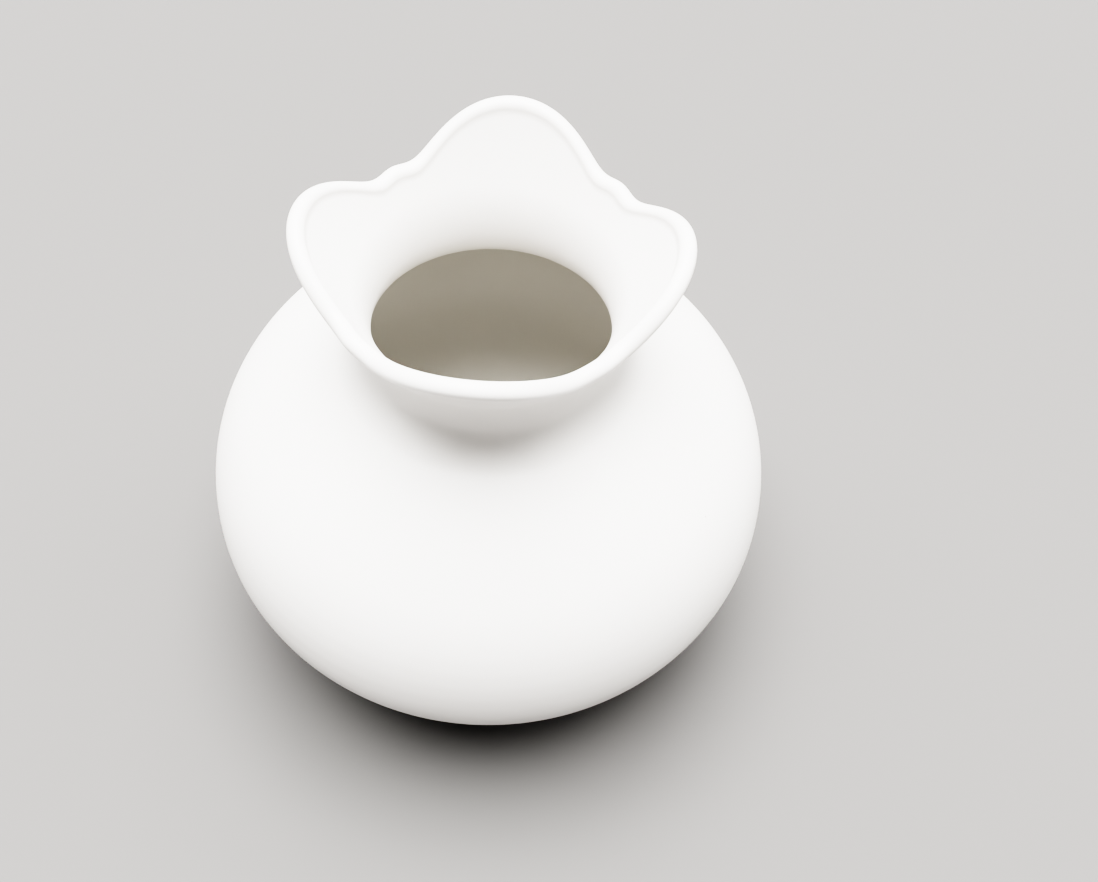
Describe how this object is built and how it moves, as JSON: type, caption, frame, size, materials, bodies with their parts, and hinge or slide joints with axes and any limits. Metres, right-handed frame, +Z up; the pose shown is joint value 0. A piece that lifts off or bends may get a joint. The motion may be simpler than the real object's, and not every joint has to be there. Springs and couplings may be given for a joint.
{
  "type": "porcelain vase",
  "caption": "Low round porcelain vase with a short neck, a flared ruffled lip, glazed inside and out, standing on a bare foot ring.",
  "frame": {"origin": "on the ground, at the centre of the foot ring", "axes": "+Z up along the axis the vase was thrown on; the four tall lobes of the lip point along +X, +Y, -X and -Y"},
  "size_m": [0.13, 0.13, 0.123],
  "materials": {
    "bare_porcelain": "fired and unglazed, matt and slightly rough",
    "outer_glaze": "clear glaze over white clay, soft gloss",
    "inner_glaze": "clear glaze over white clay, soft gloss, slightly warmer"
  },
  "bodies": {
    "root": {"foot_ring": "bare_porcelain", "lower_body": "bare_porcelain", "upper_body": "bare_porcelain", "neck_and_lip": "bare_porcelain", "outer_glaze": "outer_glaze", "inner_glaze": "inner_glaze", "base_glaze": "outer_glaze"}
  },
  "joints": []
}
